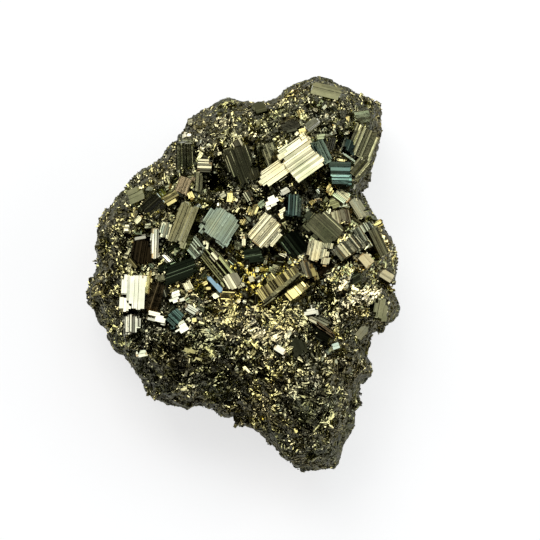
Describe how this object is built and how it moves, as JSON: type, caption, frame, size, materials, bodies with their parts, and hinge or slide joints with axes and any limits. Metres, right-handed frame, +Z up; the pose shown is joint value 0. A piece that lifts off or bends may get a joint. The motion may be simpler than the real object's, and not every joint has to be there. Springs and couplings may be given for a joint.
{
  "type": "pyrite specimen",
  "caption": "Hand-size cluster of granular pyrite crusted with intergrown striated cubes, lying on its flat broken back, for display or as a mineral sample.",
  "frame": {"origin": "middle of the flat broken base, under the middle of the bounding box", "axes": "+Z up out of the crystal face, +Y along the longer side towards the tall rounded lobe, +X across towards the two small side lobes"},
  "size_m": [0.0629, 0.0794, 0.0349],
  "materials": {
    "pyrite": "satin"
  },
  "bodies": {
    "root": {"pyrite_cluster": "pyrite"}
  },
  "joints": []
}
